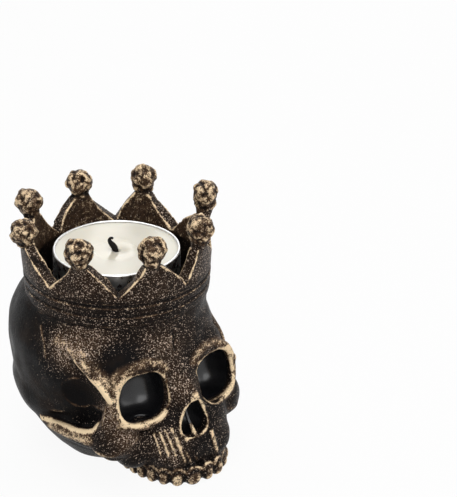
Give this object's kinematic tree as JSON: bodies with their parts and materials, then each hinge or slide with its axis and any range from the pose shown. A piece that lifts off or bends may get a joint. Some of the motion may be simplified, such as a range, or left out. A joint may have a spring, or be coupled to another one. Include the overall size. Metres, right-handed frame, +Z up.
{
  "type": "skull candle holder",
  "caption": "Cast skull wearing a pointed crown, with a tealight standing in the open well on top; rests on its flat base.",
  "frame": {"origin": "on the flat base under the crown's axis", "axes": "+Z up along the crown's axis, -Y the way the face looks, +X the skull's left side"},
  "size_m": [0.0614, 0.0761, 0.0826],
  "materials": {
    "bronze_paint": "near-black bronze paint, dry-brushed with gold on the raised edges",
    "cup_aluminium": "thin pressed aluminium",
    "wax_white": "cream wax, stands in for paraffin",
    "wick_char": "charred cotton"
  },
  "bodies": {
    "root": {"holder": "bronze_paint", "tealight_cup": "cup_aluminium", "wax": "wax_white", "wick": "wick_char", "wick_tab": "cup_aluminium"}
  },
  "joints": []
}
